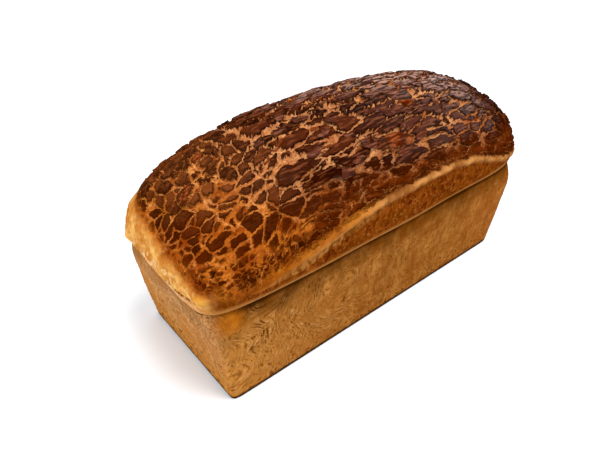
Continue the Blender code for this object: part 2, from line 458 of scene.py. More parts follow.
def wall_ring(u, v, height, reach, inset):
    """A ring of the wall, or of the lip's underside where reach is above 0."""
    share = min(1.0, height / WALL_HEIGHT)
    x, y = superellipse(u, v, wall_square(u, v, share))
    lip_x, lip_y = superellipse(u, v, lip_square(u, v))
    half_length = BASE_LENGTH / 2 + END_FLARE * share - inset
    half_width = BASE_WIDTH / 2 + SIDE_FLARE * share - inset
    lip_length = BASE_LENGTH / 2 + END_FLARE + LIP_REACH_END
    lip_width = BASE_WIDTH / 2 + SIDE_FLARE + LIP_REACH_SIDE
    rolled = reach * lip_reach(u)
    x = mix(half_length * x, lip_length * lip_x, rolled)
    y = mix(half_width * y, lip_width * lip_y, rolled)
    return np.stack([x, y, np.full(len(u), height)], -1)


def square_outline(long_spaces, short_spaces, crowding):
    """Points round the unit square, anticlockwise from (1, -1), closer near the corners by crowding."""
    corners = np.array([(1, -1), (1, 1), (-1, 1), (-1, -1)], float)
    runs = []
    for index, spaces in enumerate([short_spaces, long_spaces, short_spaces, long_spaces]):
        even = np.arange(spaces) / spaces
        share = mix(even, smooth_step(0, 1, even), crowding)[:, None]
        runs.append(mix(corners[index], corners[(index + 1) % 4], share))
    outline = np.concatenate(runs)
    return outline[:, 0], outline[:, 1]


def ring_faces(upper, lower):
    """Quads between two rings of vertex numbers that run anticlockwise seen from above."""
    after_upper, after_lower = np.roll(upper, -1), np.roll(lower, -1)
    return np.stack([upper, lower, after_lower, after_upper], -1).tolist()


def new_object(name, data):
    """An object with this mesh, light or camera, in the scene."""
    made = bpy.data.objects.new(name, data)
    bpy.context.scene.collection.objects.link(made)
    return made


def plain_mesh(name, points, faces, attributes):
    """An object whose mesh holds these points, faces and point attributes."""
    mesh = bpy.data.meshes.new(name)
    mesh.from_pydata(points.tolist(), [], faces)
    for label, values in attributes.items():
        kind = "FLOAT_VECTOR" if values.ndim == 2 else "FLOAT"
        layer = mesh.attributes.new(label, kind, "POINT")
        layer.data.foreach_set("vector" if values.ndim == 2 else "value", values.ravel())
    mesh.shade_smooth()
    return new_object(name, mesh)


def side_shift():
    """How far the solid was moved along X so that its box is centred on the origin."""
    return LIP_REACH_END * (1 - NEAR_END_REACH) / 2


def dome_piece():
    """The dome, the band under its crust and the lip, closed by a flat face inside the loaf."""
    columns = np.linspace(-1, 1, DOME_SPACES_LONG + 1)
    rows = np.linspace(-1, 1, DOME_SPACES_WIDE + 1)
    u, v = np.meshgrid(columns, rows, indexing="ij")
    number = np.arange(u.size).reshape(u.shape)
    faces = np.stack([number[:-1, :-1], number[1:, :-1], number[1:, 1:], number[:-1, 1:]], -1)
    faces = faces.reshape(-1, 4).tolist()
    points = dome_points(u.ravel(), v.ravel())
    share = np.maximum(np.maximum(np.abs(u), np.abs(v)), 1e-6).ravel()
    crust_reach = share / crust_end(u.ravel() / share, v.ravel() / share)

    border = np.concatenate([number[-1, :-1], number[:0:-1, -1], number[0, :0:-1], number[:-1, 0]])
    border_u, border_v = u.ravel()[border], v.ravel()[border]
    wave = lip_wave(border_u, border_v)
    all_points, all_reach = [points], [crust_reach]
    upper, count = border, len(points)
    for row in range(1, LIP_ROWS + 1):
        angle = row / LIP_ROWS * math.pi / 2
        reach = math.cos(angle) ** LIP_CRISP
        drop = mix(math.sin(angle), 1 - reach, LIP_UNDERSIDE)
        height = WALL_HEIGHT + LIP_RISE - (LIP_RISE + GROOVE_DROP) * drop
        ring = wall_ring(border_u, border_v, max(height, WALL_HEIGHT), reach, 0.0)
        ring[:, 2] = height + wave + seam_stray(border_u, border_v) * drop
        lower = np.arange(count, count + len(ring))
        faces += ring_faces(upper, lower)
        all_points.append(ring)
        all_reach.append(crust_reach[border] + 0.5 * row / LIP_ROWS)
        upper, count = lower, count + len(ring)
    hidden = wall_ring(border_u, border_v, WALL_HEIGHT, 0.0, DOME_RIM_INSET)
    hidden[:, 2] = WALL_HEIGHT - DOME_RIM_DROP
    lower = np.arange(count, count + len(hidden))
    faces += ring_faces(upper, lower)
    faces.append(lower[::-1].tolist())
    all_points.append(hidden)
    all_reach.append(crust_reach[border] + 0.5)
    placed = np.concatenate(all_points)
    placed[:, 0] -= side_shift()
    attributes = {"rest": placed, "crust_reach": np.concatenate(all_reach)}
    return plain_mesh("loaf_dome", placed, faces, attributes)


def sides_piece():
    """The tin's walls and underside, closed by a flat face that the lip hides."""
    u, v = square_outline(SIDE_SPACES_LONG, SIDE_SPACES_SHORT, SIDE_CROWDING)
    rings = [wall_ring(u, v, WALL_HEIGHT, 0.0, inset) for inset in (SIDE_RIM_INSET, SIDE_EDGE_INSET)]
    rings[0][:, 2] = WALL_HEIGHT + SIDE_RIM_RISE
    rings[1][:, 2] = WALL_HEIGHT + SIDE_EDGE_RISE
    for row in range(SIDE_ROWS + 1):
        height = mix(WALL_HEIGHT - SIDE_TOP_GAP, FOOT_ROUND, row / SIDE_ROWS)
        rings.append(wall_ring(u, v, height, 0.0, 0.0))
    for angle in np.radians(FOOT_ANGLES):
        inset = FOOT_ROUND * (1 - math.cos(angle))
        rings.append(wall_ring(u, v, FOOT_ROUND * (1 - math.sin(angle)), 0.0, inset))
    for ring in rings:
        ring[:, 2] += seam_stray(u, v) * smooth_step(WALL_HEIGHT - 0.01, WALL_HEIGHT, ring[:, 2])
    points = np.concatenate(rings)
    points[:, 0] -= side_shift()
    numbers = np.arange(len(points)).reshape(len(rings), len(u))
    faces = [numbers[0].tolist()]
    for upper, lower in zip(numbers, numbers[1:]):
        faces += ring_faces(upper, lower)
    faces.append(numbers[-1][::-1].tolist())
    return plain_mesh("loaf_sides", points, faces, {"rest": points})


# The crackled paste, as one rule for both relief and colour


def crackle_group(kind):
    """The crackle at a place of the dome: how much paste there is, how raised and how dark it is."""
    name = twin_name("crackled_paste", kind)
    net, given = new_group(name, kind, {"Rest": "Vector", "Crust reach": "Float"})
    rest, reach = given["Rest"], given["Crust reach"]
    x, y, z = net.parts(rest)

    crowding = net.add(1.0, net.times(END_CROWDING, x, x))
    lengthwise = net.times(x, crowding, 1 / PLATE_STRETCH)
    fineness = net.ramp(x, 0.0, 0.12, 1 / PLATE_WIDTH, (1 + FAR_FINENESS) / PLATE_WIDTH)
    fineness = net.times(fineness, net.ramp(x, -0.130, -0.070, NEAR_FINENESS, 1.0))
    place = net.scaled(net.joined(lengthwise, y, z), fineness)
    slow, quick = net.stray(rest, 48, 1.0), net.stray(rest, 260, 3.0, 0.6)
    place = net.moved(place, slow, SLOW_STRAY)

    # The front's lower part has a thinner paste, and the crown and the far half are baked darkest
    low = net.add(z, net.times(x, 0.075), net.times(y, 0.22), net.times(net.noise(rest, 35), 0.020))
    bake = net.ramp(low, 0.100, 0.130)
    near_end = net.fall(x, -0.115, -0.065)
    past_corner = net.math("MINIMUM", net.add(y, 0.035), 0.0)
    end_place = net.add(x, net.times(past_corner, -0.7))
    sharp = net.ramp(net.add(low, net.times(near_end, 0.010)), 0.098, 0.118)

    # Dark plates, with ragged edges where they are baked most
    place = net.moved(place, quick, net.blend(near_end, QUICK_STRAY, END_QUICK_STRAY))
    edge = net.cells(place, "DISTANCE_TO_EDGE", CELL_CHANCE)
    chance = net.cells(place, "F1", CELL_CHANCE)
    luck, worn, _ = net.parts(chance)
    tear = net.times(net.ramp(net.noise(rest, (30.0, 130.0, 130.0)), 0.59, 0.68), sharp)
    half_crack = net.ramp(net.noise(rest, 75), 0.32, 0.68, 0.030, 0.098)
    half_crack = net.times(half_crack, net.blend(near_end, 0.92, 0.56))
    half_crack = net.add(half_crack, net.times(tear, net.blend(near_end, 0.10, 0.07)))
    long_tear = 0.0
    strayed = net.moved(rest, quick, 0.0030)
    for start, end in LONG_TEARS:
        along = Vector((end[0] - start[0], end[1] - start[1], 0.0))
        from_start = net.vector("SUBTRACT", strayed, (start[0], start[1], 0.0))
        level = net.vector("MULTIPLY", from_start, (1.0, 1.0, 0.0))
        reached = net.measure("DOT_PRODUCT", level, tuple(along / along.length_squared))
        share = net.math("MINIMUM", net.math("MAXIMUM", reached, 0.0), 1.0)
        off = net.measure("DISTANCE", level, net.scaled(tuple(along), share))
        long_tear = net.math("MAXIMUM", net.fall(off, 0.0005, 0.0015), long_tear)
    half_crack = net.add(half_crack, net.times(long_tear, LONG_TEAR_REACH))
    vein = net.times(net.fall(edge, 0.0, 0.045), net.ramp(net.noise(rest, 150, 3.0, 0.6), 0.42, 0.62))
    softness = net.blend(sharp, 0.26, net.blend(near_end, 0.028, 0.090))
    there = net.ramp(luck, net.blend(sharp, 0.22, -0.04), net.blend(sharp, 0.45, 0.02))
    plate = net.times(net.ramp(edge, half_crack, net.add(half_crack, softness)), there)
    patch = net.ramp(net.noise(rest, (90.0, 190.0, 190.0), 4.0, 0.62), 0.38, 0.56, 0.15, 1.0)

    # A finer, thinner layer shows between the plates and where they came off
    fine_place = net.vector("ADD", net.scaled(place, FINE_CELLS), FINE_SHIFT)
    fine_edge = net.cells(fine_place, "DISTANCE_TO_EDGE", 1.0)
    fine_wide = net.ramp(net.noise(rest, 95), 0.45, 0.68, 0.015, 0.20)
    fine_wide = net.blend(sharp, net.times(fine_wide, 0.6), fine_wide)
    fine_wide = net.add(fine_wide, net.times(near_end, sharp, 0.35))
    low_soft = net.ramp(x, -0.10, -0.06, 0.24, 0.08)
    fine = net.ramp(fine_edge, fine_wide, net.add(fine_wide, net.blend(sharp, low_soft, 0.09)))
    fine = net.times(fine, net.blend(sharp, 1.0, net.ramp(half_crack, 0.085, 0.135, 0.25, 1.0)))
    fine_line = net.times(
        net.fall(fine_edge, 0.015, 0.075),
        net.ramp(net.noise(rest, 85), 0.36, 0.54),
        net.blend(sharp, net.ramp(x, -0.09, -0.05), 0.0),
    )
    mixed = net.math("MAXIMUM", net.times(plate, 0.4), net.times(fine, patch))
    plate = net.blend(sharp, mixed, plate)

    ragged = net.times(net.uneven(rest, 130, 5.0, 0.72), 0.10)
    soft_edge = net.ramp(x, -0.12, -0.055, 0.05, 0.010)
    crust = net.fall(net.add(reach, ragged), net.rest_of(soft_edge), net.add(1.0, soft_edge))
    near_fade = net.times(net.fall(end_place, -0.142, -0.120), net.ramp(reach, 0.86, 1.0))
    crust_plates = net.times(crust, net.blend(near_fade, 1.0, 0.15))
    plate = net.times(plate, crust_plates)
    fine = net.times(fine, crust_plates)
    inner = net.times(net.ramp(edge, net.add(half_crack, 0.01), net.add(half_crack, 0.12)), plate)

    # Relief in metres: grooves, plates of uneven thickness, and fibres along the loaf
    thick = net.times(net.blend(bake, THIN_PLATE, THICK_PLATE), net.add(0.5, worn))
    ripple = net.times(net.uneven(rest, 480, 3.0, 0.6), crust, net.rest_of(plate))
    height = net.add(
        net.times(plate, thick),
        net.times(fine, FINE_PLATE),
        net.times(inner, net.uneven(rest, FIBRE_SCALES), PLATE_FIBRES),
        net.times(crust, -GROUND_DROP),
        net.times(vein, crust, VEIN_RISE),
        net.times(fine_line, crust, -FINE_LINE_DROP),
        net.times(ripple, GAP_RIPPLE),
    )
    away = net.math("ABSOLUTE", net.add(reach, net.times(ragged, 0.7), -1.030))
    long_side = net.between(x, -0.11, -0.06, 0.125, 0.14)
    uneven = net.ramp(net.noise(rest, 70, 3.0, 0.6), 0.36, 0.60, 0.30, 1.0)
    ridge = net.times(net.fall(away, 0.0, 0.060), uneven, long_side)
    height = net.add(height, net.times(ridge, EDGE_RIDGE))
    # The brink of the crust over the band, where the colour paints a shadow line
    brink = net.ramp(net.add(reach, ragged, -1.0), -0.030, -0.008)
    return net.put_out(
        {
            "Plate": plate,
            "Inner plate": inner,
            "Fine plate": fine,
            "Bake": bake,
            "Crust": crust,
            "Chance": chance,
            "Height": height,
            "Edge ridge": ridge,
            "End place": end_place,
            "Brink": net.times(brink, crust, long_side),
            "Vein": net.times(vein, crust),
            "Near end": near_end,
            "Fine line": net.times(fine_line, crust),
        }
    )


def torn_seam_group(kind):
    """The near end's tear: what lies below it, the dark crack itself, and the swollen spots beside it."""
    net, given = new_group(twin_name("torn_seam", kind), kind, {"Place": "Vector"})
    place = given["Place"]
    x, y, z = net.parts(place)
    on_end = net.times(net.fall(x, -0.1440, -0.1380), net.ramp(y, -0.052, -0.036))
    middle = net.add(TEAR_HEIGHT, net.ramp(y, -0.045, 0.0, TEAR_RISE, 0.0))
    wander = net.times(net.uneven(place, 150, 3.0, 0.6), 0.006)
    above = net.math("SUBTRACT", z, net.add(middle, wander))
    below = net.times(on_end, net.fall(above, -0.0006, 0.0003))
    crack = net.fall(net.math("ABSOLUTE", above), 0.0005, 0.0014)
    open_share = net.ramp(net.noise(place, 190), 0.38, 0.52)
    swollen = 0.0
    for spot in SWOLLEN_SPOTS:
        away = net.measure("DISTANCE", place, spot)
        swollen = net.math("MAXIMUM", net.fall(away, 0.0015, 0.0050), swollen)
    crack = net.times(on_end, crack, open_share)
    return net.put_out({"Below": below, "Crack": crack, "Swollen": swollen})


def dressed(net, geometry, material):
    """The end of a tree of Geometry Nodes: one real mesh in its material."""
    real = net.node("GeometryNodeRealizeInstances", {"Geometry": geometry})
    named = {"Geometry": real.outputs[0], "Material": material}
    return net.put_out({"Geometry": net.node("GeometryNodeSetMaterial", named).outputs[0]})


def pushed_out(net, geometry, height, material):
    """The end of a tree that moves the skin out by this height."""
    outward = net.node("GeometryNodeInputNormal").outputs[0]
    named = {"Geometry": geometry, "Offset": net.scaled(outward, height)}
    return dressed(net, net.node("GeometryNodeSetPosition", named).outputs[0], material)


def relief_tree():
    """Geometry Nodes that give the dome's skin its crackle, lumps, strands and torn seam."""
    sizes = "Crackle depth", "Lump depth", "Strand depth", "Bulge depth"
    net, given = relief_group("dome_relief", "Crust material", *sizes)
    rest, reach = net.kept("rest", "FLOAT_VECTOR"), net.kept("crust_reach")
    found = net.group(crackle_group(RELIEF), rest=rest, crust_reach=reach)
    x, _, z = net.parts(rest)
    near = net.fall(x, -0.142, -0.122)
    lump = net.times(net.uneven(rest, 42, 3.0), given["Lump depth"])
    bulge = net.times(net.uneven(rest, 105, 3.0, 0.6), near, given["Bulge depth"])
    strand = net.times(net.uneven(rest, (300.0, 300.0, 140.0), 3.0, 0.6), given["Strand depth"])
    crackle = net.times(found["Height"], given["Crackle depth"])
    height = net.add(crackle, lump, bulge, net.times(strand, net.rest_of(found["Crust"])))
    height = net.times(height, net.ramp(z, WALL_HEIGHT, WALL_HEIGHT + 0.012))
    seam = net.group(torn_seam_group(RELIEF), place=rest)
    height = net.add(height, net.times(seam["Crack"], -TEAR_DEPTH), net.times(seam["Swollen"], SWELLING))
    height = net.times(height, net.ramp(z, WALL_HEIGHT - 0.0005, WALL_HEIGHT + 0.002))
    return pushed_out(net, given["Geometry"], height, given["Crust material"])


def flake_tree():
    """Geometry Nodes that lay thin flakes on the crown, most of them along the loaf, with one end lifted."""
    sizes = "Gap", "Flake length", "Flake thickness", "Curl", "Height over skin"
    net, given = relief_group("crown_flakes", "Flake material", *sizes, Seed="Int")
    x, y, z = net.parts(net.kept("rest", "FLOAT_VECTOR"))
    crown = net.ramp(net.add(z, net.times(y, 0.12)), 0.116, 0.132)
    crown = net.times(crown, net.between(x, -0.10, -0.06, 0.080, 0.100))
    scattered = net.node(
        "GeometryNodeDistributePointsOnFaces",
        {
            "Mesh": given["Geometry"],
            "Distance Min": given["Gap"],
            "Density Max": FLAKE_DENSITY,
            "Density Factor": crown,
            "Seed": given["Seed"],
        },
        distribute_method="POISSON",
    )
    heading = net.node(
        "FunctionNodeRandomValue",
        {"Min": (-1.0, -FLAKE_TURN, 0.0), "Max": (1.0, FLAKE_TURN, 0.0), "Seed": given["Seed"]},
        data_type="FLOAT_VECTOR",
    )

    # One flake: a slab that is rounded in plan and thins towards its rim, with its height stored
    slab = net.node("GeometryNodeMeshCube", {"Vertices X": 7, "Vertices Y": 5, "Vertices Z": 2})
    px, py, pz = net.parts(net.node("GeometryNodeInputPosition").outputs[0])
    px, py = net.times(px, 2.0), net.times(py, 2.0)
    round_x = net.math("SQRT", net.add(1.0, net.times(py, py, -0.5)))
    round_y = net.math("SQRT", net.add(1.0, net.times(px, px, -0.5)))
    disc_x, disc_y = net.times(px, round_x), net.times(py, round_y)
    half = net.times(given["Flake length"], 0.5)
    round_share = net.add(net.times(disc_x, disc_x), net.times(disc_y, disc_y))
    thinned = net.add(1.0, net.times(round_share, -0.6))
    lift = net.times(net.math("MAXIMUM", disc_x, 0.0), given["Curl"])
    tall = net.add(net.times(pz, given["Flake thickness"], thinned), lift)
    kept = net.node(
        "GeometryNodeStoreNamedAttribute",
        {"Geometry": slab.outputs[0], "Name": "above_skin", "Value": tall},
        data_type="FLOAT",
        domain="POINT",
    )
    plan = net.joined(net.times(disc_x, half), net.times(disc_y, half, FLAKE_WIDTH), 0.0)
    flake = net.node("GeometryNodeSetPosition", {"Geometry": kept.outputs[0], "Position": plan})
    facing = net.node(
        "FunctionNodeAxesToRotation",
        {"Primary Axis": scattered.outputs["Normal"], "Secondary Axis": heading.outputs[0]},
        primary_axis="Z",
        secondary_axis="X",
    )
    sizes = {"Min": FLAKE_SIZES[0], "Max": FLAKE_SIZES[1], "Seed": 7}
    size = net.node("FunctionNodeRandomValue", sizes, data_type="FLOAT")
    placed = net.node(
        "GeometryNodeInstanceOnPoints",
        {
            "Points": scattered.outputs["Points"],
            "Instance": flake.outputs[0],
            "Rotation": facing.outputs[0],
            "Scale": size.outputs[1],
        },
    )

    # Its outline is warped, and it's laid on the skin below, at the height that it stored
    real = net.node("GeometryNodeRealizeInstances", {"Geometry": placed.outputs[0]})
    spot = net.node("GeometryNodeInputPosition").outputs[0]
    warp = net.stray(spot, 260, 2.0, 0.6)
    torn = net.vector("ADD", spot, net.vector("MULTIPLY", warp, FLAKE_WARP))
    nearest = net.node("GeometryNodeProximity", {0: given["Geometry"], "Source Position": torn})
    facing_out = net.node(
        "GeometryNodeSampleNearestSurface",
        {
            "Mesh": given["Geometry"],
            "Value": net.node("GeometryNodeInputNormal").outputs[0],
            "Sample Position": torn,
        },
        data_type="FLOAT_VECTOR",
    )
    above = net.add(net.kept("above_skin"), given["Height over skin"])
    spot = net.moved(nearest.outputs["Position"], facing_out.outputs[0], above)
    laid = net.node("GeometryNodeSetPosition", {"Geometry": real.outputs[0], "Position": spot})
    soft = net.node("GeometryNodeSetShadeSmooth", {"Geometry": laid.outputs[0]})
    return dressed(net, soft.outputs[0], given["Flake material"])


def wrinkle_group(kind):
    """Fine branching wrinkles, as the skin of a baked side has where it dried fast."""
    net, given = new_group(twin_name("dried_skin_wrinkle", kind), kind, {"Place": "Vector"})
    place = given["Place"]
    bent = net.moved(place, net.stray(place, 120), 0.004)
    x, y, z = net.parts(bent)
    lean = net.times(net.add(net.noise(place, 24, 1.0), -0.46), 4.0)
    leaning = net.joined(net.add(x, net.times(z, lean)), y, z)
    folded = net.noise(leaning, (620.0, 620.0, 190.0), 1.5)

    # They're deepest high up beside the near corner, and finer in the rest of the near half
    x, _, z = net.parts(place)
    high = net.times(net.ramp(z, 0.020, 0.042), net.between(x, -0.135, -0.115, -0.085, -0.035))
    other = net.ramp(x, -0.10, 0.04, 0.60, 0.28)
    patchy = net.ramp(net.noise(place, 60), 0.36, 0.58, 0.35, 1.0)
    return net.put_out(
        {
            "Fold": net.ramp(folded, 0.50, 0.62),
            "Crease": net.fall(folded, 0.34, 0.48),
            "Where": net.times(net.math("MAXIMUM", high, other), patchy),
        }
    )


def wall_relief_tree():
    """Geometry Nodes that give the tin's walls their shallow dents and wrinkles."""
    net, given = relief_group("wall_relief", "Wall material", "Dent depth", "Wrinkle depth")
    rest = net.kept("rest", "FLOAT_VECTOR")
    dent = net.times(net.uneven(rest, 28), given["Dent depth"])
    found = net.group(wrinkle_group(RELIEF), place=rest)
    wrinkle = net.add(found["Fold"], net.times(found["Crease"], -0.6))
    height = net.add(dent, net.times(wrinkle, found["Where"], given["Wrinkle depth"]))
    z = net.parts(rest)[2]
    by_lip = net.ramp(z, WALL_HEIGHT - 0.004, WALL_HEIGHT, 1.0, 0.2)
    height = net.times(height, net.ramp(z, 0.0005, 0.006), by_lip)
    return pushed_out(net, given["Geometry"], height, given["Wall material"])


def shaped(piece, tree, values):
    """The piece with this tree's result as its plain mesh."""
    modifier = piece.modifiers.new(tree.name, "NODES")
    modifier.node_group = tree
    sockets = {item.name: item.identifier for item in tree.interface.items_tree if item.in_out == "INPUT"}
    for name, value in values.items():
        modifier[sockets[name]] = value
    ready = piece.evaluated_get(bpy.context.evaluated_depsgraph_get())
    mesh = bpy.data.meshes.new_from_object(ready)
    mesh.name = piece.name
    piece.modifiers.clear()
    piece.data = mesh
    return piece


# Materials


def mottle_group():
    """Soft blotches of baking at two sizes, as one mask from 0 to 1."""
    net, given = new_group("baking_mottle", COLOUR, {"Place": "Vector", "Size": "Float"})
    sized = net.scaled(given["Place"], given["Size"])
    wide, fine = net.noise(sized, 1.0, 3.0, 0.6), net.noise(sized, 5.3, 4.0, 0.65)
    both = net.add(net.times(wide, 0.65), net.times(fine, 0.35))
    return net.put_out({"Mask": net.ramp(both, 0.34, 0.66)})


def fibre_group():
    """Fibres along the loaf, and where a painted sheen makes them pale: toward the back and the far end."""
    net, given = new_group("fibres_and_painted_sheen", COLOUR, {"Place": "Vector"})
    x, y, _ = net.parts(given["Place"])
    fibre = net.noise(given["Place"], FIBRE_SCALES)
    back = net.add(net.times(x, 0.7), net.times(y, 1.6))
    seen = net.ramp(y, 0.012, 0.034, 1.0, 0.20)
    # Where the sheen is painted, along the fibres
    painted_sheen = net.times(net.ramp(fibre, 0.42, 0.58), net.ramp(back, -0.025, 0.045), seen)
    return net.put_out({"Fibre": fibre, "Painted sheen": painted_sheen})


def new_material(name):
    """A material with nothing but its shader in it, with its net and the shader."""
    material = bpy.data.materials.new(name)
    material.use_nodes = True
    return material, Net(material.node_tree), material.node_tree.nodes["Principled BSDF"]


def attribute(net, name, output):
    return net.node("ShaderNodeAttribute", attribute_name=name).outputs[output]


def bumped(net, height, strength, distance):
    named = {"Strength": strength, "Distance": distance, "Height": height}
    return net.node("ShaderNodeBump", named).outputs[0]


def dome_material(mottle, fibres):
    """The whole dome: the paste with its plates and gaps, the band under it and the golden near end."""
    material, net, shader = new_material("crackled_crust")
    rest, reach = attribute(net, "rest", "Vector"), attribute(net, "crust_reach", "Fac")
    found = net.group(crackle_group(COLOUR), rest=rest, crust_reach=reach)
    seam = net.group(torn_seam_group(COLOUR), place=rest)
    fibrous = net.group(fibres, place=rest)
    blotch = net.group(mottle, place=rest, size=55.0)["Mask"]
    speck = net.noise(rest, 700, 4.0, 0.6)
    x, y, z = net.parts(rest)
    luck, _, shade = net.parts(found["Chance"])
    bake, near_end, fibre = found["Bake"], found["Near end"], fibrous["Fibre"]
    high_bake = net.ramp(bake, 0.35, 1.0)
    far = net.ramp(x, 0.075, 0.120)

    # The gaps between the plates
    end_speck = net.ramp(net.noise(rest, 330, 3.0, 0.6), 0.52, 0.66)
    end_gap = net.paint(blotch, (138, 60, 12), (214, 130, 58))
    end_gap = net.paint(end_speck, end_gap, (176, 92, 30))
    high_gap = net.paint(blotch, (176, 92, 40), (236, 166, 110))
    high_gap = net.paint(near_end, high_gap, end_gap)
    low_gap = net.paint(blotch, (144, 58, 6), (212, 120, 36))
    mid_gap = net.paint(blotch, (70, 16, 0), (134, 58, 12))
    low_gap = net.paint(net.ramp(x, -0.095, -0.045), low_gap, mid_gap)
    gap = net.coats(
        net.paint(high_bake, low_gap, high_gap),
        (net.times(found["Vein"], net.blend(bake, 0.35, 0.70)), (246, 178, 108)),
        (net.ramp(speck, 0.45, 0.7, 0.0, 0.6), (120, 54, 14)),
        (net.times(far, 0.80), (112, 46, 8)),
    )

    # The fine layer and the plates, with a few amber ones
    thin = net.paint(blotch, (70, 20, 0), (112, 44, 6))
    thin = net.paint(high_bake, thin, (130, 60, 24))
    grainy = net.ramp(net.noise(rest, (200.0, 460.0, 460.0), 4.0, 0.65), 0.42, 0.62)
    brown = net.paint(net.ramp(shade, 0.3, 0.9), (62, 24, 2), (122, 60, 20))
    brown = net.paint(net.times(grainy, 0.65), brown, (130, 70, 32))
    dark = net.coats(
        net.paint(shade, (34, 6, 0), (84, 34, 10)),
        (net.ramp(fibre, 0.48, 0.64, 0.0, 0.65), (142, 76, 42)),
        # A painted sheen pales the dark plates toward the back, and less on the far end
        (net.times(fibrous["Painted sheen"], net.blend(far, 0.90, 0.05)), PAINTED_SHEEN),
        (near_end, brown),
        (net.times(far, 0.8), net.paint(shade, (50, 12, 0), (88, 32, 4))),
    )
    warm = net.paint(blotch, (84, 26, 0), (48, 10, 0))
    # The plates' rims: a burnt brown, and in noisy patches a near-black painted shadow at the plates' edges;
    # on the near end only the burnt brown
    rim_shadow_share = net.ramp(net.noise(rest, 120), 0.40, 0.56)
    burnt_rim_and_shadow = net.paint(rim_shadow_share, (78, 30, 6), (26, 6, 0))
    burnt_rim_and_shadow = net.paint(near_end, burnt_rim_and_shadow, (78, 30, 6))
    amber = net.times(net.ramp(luck, 0.93, 0.94), net.ramp(bake, 0.5, 0.9))
    amber = net.times(amber, net.ramp(net.noise(rest, 90, 3.0), 0.36, 0.60))
    amber_skin = net.paint(net.ramp(fibre, 0.40, 0.62), (92, 28, 2), (168, 88, 42))
    nose = net.times(net.fall(x, -0.138, -0.112), net.ramp(reach, 0.94, 1.06))
    paste = net.coats(
        gap,
        (found["Fine plate"], thin),
        (found["Plate"], net.paint(bake, (104, 40, 3), burnt_rim_and_shadow)),
        (found["Inner plate"], net.paint(bake, warm, dark)),
        (net.times(found["Fine line"], 0.75), (200, 118, 54)),
        (net.times(amber, found["Plate"]), amber_skin),
        # A painted shadow line along the crust's edge over the band
        (net.times(found["Brink"], 0.7), (78, 32, 4)),
        (net.times(nose, 0.75), net.paint(blotch, (160, 74, 0), (224, 136, 34))),
    )

    # The golden skin of the near end, coarser by its seam
    crumbly = net.noise(rest, 330, 4.0, 0.65)
    by_seam = net.ramp(z, TEAR_HEIGHT + 0.006, TEAR_HEIGHT + 0.014, 1.0, 0.35)
    golden = net.coats(
        net.paint(blotch, (206, 126, 44), (255, 200, 110)),
        (net.ramp(net.noise(rest, 130, 3.0), 0.45, 0.66, 0.0, 0.7), (190, 108, 32)),
        (net.times(net.ramp(crumbly, 0.54, 0.66, 0.0, 0.55), by_seam), (180, 106, 40)),
        (net.times(net.ramp(crumbly, 0.36, 0.46, 0.6, 0.0), by_seam), (255, 222, 160)),
    )

    # The torn band, drawn out into strands
    bent = net.moved(rest, net.stray(rest, 110), 0.012)
    strand = net.noise(bent, (300.0, 300.0, 130.0), 4.0, 0.65)
    near = net.fall(found["End place"], -0.140, -0.122)
    stretched = net.times(net.between(x, -0.125, -0.100, -0.050, -0.015), net.fall(y, -0.03, -0.02))
    crinkled = net.between(reach, 1.035, 1.055, 1.10, 1.14)
    crinkle = net.paint(net.ramp(strand, 0.40, 0.56), (136, 80, 22), (200, 138, 68))
    flaked = net.paint(blotch, (206, 136, 80), (250, 200, 150))
    pale = net.times(net.ramp(net.noise(rest, 170), 0.46, 0.58), net.ramp(y, -0.015, 0.0), near)
    pale = net.times(pale, net.ramp(z, TEAR_HEIGHT + 0.004, TEAR_HEIGHT + 0.010, 0.7, 0.0))
    band = net.coats(
        net.paint(net.ramp(strand, 0.36, 0.66), (84, 28, 0), (148, 72, 16)),
        (net.ramp(blotch, 0.2, 0.8, 0.0, 0.5), (126, 64, 8)),
        (net.ramp(net.noise(rest, 420, 3.0, 0.6), 0.56, 0.66, 0.0, 0.30), (210, 140, 66)),
        (net.times(net.fall(reach, 1.0, 1.12), 0.6), (118, 54, 8)),
        (net.times(crinkled, stretched, 0.5), crinkle),
        (near, golden),
        (net.ramp(z, WALL_HEIGHT + 0.0015, WALL_HEIGHT + 0.0065, 0.60, 0.0), (206, 142, 74)),
        (net.times(seam["Below"], 0.7), flaked),
        (pale, (255, 214, 160)),
        (net.times(seam["Swollen"], 0.7), (246, 176, 70)),
        (seam["Crack"], (66, 28, 4)),
        (net.times(found["Edge ridge"], 0.85), (222, 154, 84)),
    )

    # The paste over the band, the amber strip at its edge, and painted shade in the groove under the lip
    amber_strip = net.times(net.between(reach, 0.965, 0.995, 1.035, 1.055), stretched, 0.75)
    skin = net.coats(
        band,
        (found["Crust"], paste),
        (amber_strip, net.paint(blotch, (160, 78, 8), (206, 124, 34))),
        (net.fall(z, WALL_HEIGHT - 0.001, WALL_HEIGHT + 0.001), (58, 28, 8)),
    )
    gloss = net.times(found["Inner plate"], bake, net.ramp(x, -0.05, 0.08, 0.03, 0.50))
    gloss = net.times(gloss, net.blend(far, 1.0, 0.1), net.ramp(bake, 0.6, 1.0))
    grain = net.add(
        net.times(speck, 0.4),
        found["Plate"],
        net.times(found["Fine plate"], 0.6),
        net.times(strand, 0.8),
        net.times(crumbly, near, -1.2),
        net.times(fibre, found["Inner plate"]),
    )
    finish = {
        "Base Color": skin,
        "Roughness": net.ramp(speck, 0.3, 0.7, 0.55, 0.75),
        "Specular IOR Level": 0.0,
        "Coat Weight": net.times(gloss, net.rest_of(amber)),
        "Coat Roughness": COAT_ROUGHNESS,
        "Normal": bumped(net, grain, 1.0, 0.0012),
    }
    net.fill(shader, finish)
    return material


